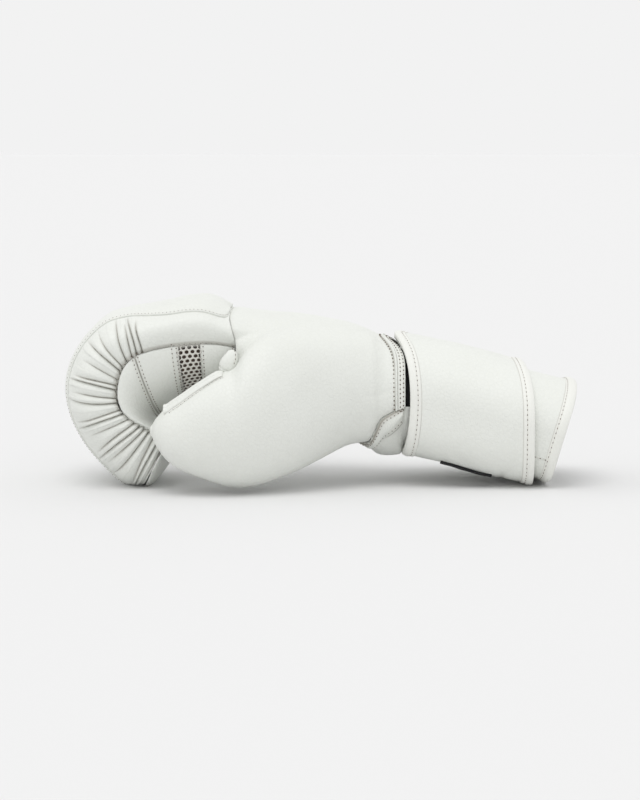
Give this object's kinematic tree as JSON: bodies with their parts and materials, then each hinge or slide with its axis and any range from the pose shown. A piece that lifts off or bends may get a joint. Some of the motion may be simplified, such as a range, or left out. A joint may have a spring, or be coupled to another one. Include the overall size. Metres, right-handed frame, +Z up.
{
  "type": "bag glove",
  "caption": "Padded right-hand boxing bag glove in white leather with a curled fist, gathered sides, attached thumb and a wide wrist strap.",
  "frame": {"origin": "on the floor under the middle of the glove's box", "axes": "+Z up off the back of the hand, +X from the fingers to the cuff opening, the thumb on the -Y side"},
  "size_m": [0.304, 0.1394, 0.111],
  "materials": {
    "white_leather": "fine-grained white leather with a low satin sheen",
    "leather_binding": "smooth white leather tape, stitched along its edges",
    "mesh_fabric": "off-white ventilation net with dark open cells",
    "black_lining": "matt black woven lining"
  },
  "bodies": {
    "root": {"face_pad": "white_leather", "thumb_side_gather": "white_leather", "outer_side_gather": "white_leather", "web_panel": "white_leather", "mesh_panel": "mesh_fabric", "finger_panel": "white_leather", "fingertip_panel": "white_leather", "fingertip_roll": "white_leather", "hand_shell": "white_leather", "thumb_shell": "white_leather", "palm_panel": "white_leather", "thumb_welt": "white_leather", "thumb_web": "white_leather", "thumb_fold": "white_leather", "wrist_binding": "leather_binding", "cuff": "white_leather", "cuff_binding": "leather_binding", "wrist_strap": "white_leather", "strap_front_binding": "leather_binding", "strap_rear_binding": "leather_binding", "strap_end_binding": "leather_binding", "size_label": "black_lining", "inner_sleeve": "black_lining"}
  },
  "joints": []
}
